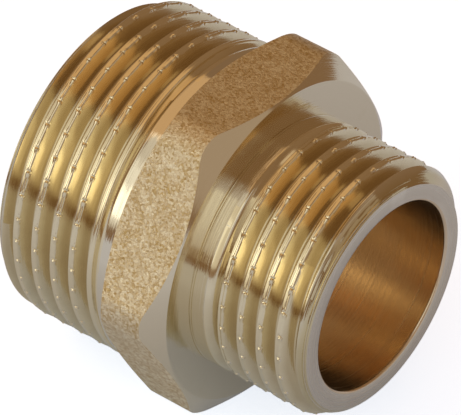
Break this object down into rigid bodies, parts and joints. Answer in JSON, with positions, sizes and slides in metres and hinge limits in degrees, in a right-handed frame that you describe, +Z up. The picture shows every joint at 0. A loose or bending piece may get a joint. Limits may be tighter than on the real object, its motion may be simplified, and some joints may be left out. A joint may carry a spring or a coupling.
{
  "type": "reducing hex nipple",
  "caption": "Brass male-to-male reducing pipe nipple with a wrench hex between a larger and a smaller parallel pipe thread and a bore right through.",
  "frame": {"origin": "on the pipe axis, at the middle of the hex collar's width", "axes": "+X along the pipe axis towards the small (1/2) end, +Z up through the middle of a hex flat, so the fitting can lie on the opposite flat"},
  "size_m": [0.0275, 0.0304, 0.027],
  "materials": {
    "brass": "turned bright, with sandblasted forged hex flats"
  },
  "bodies": {
    "root": {"nipple_body": "brass"}
  },
  "joints": []
}
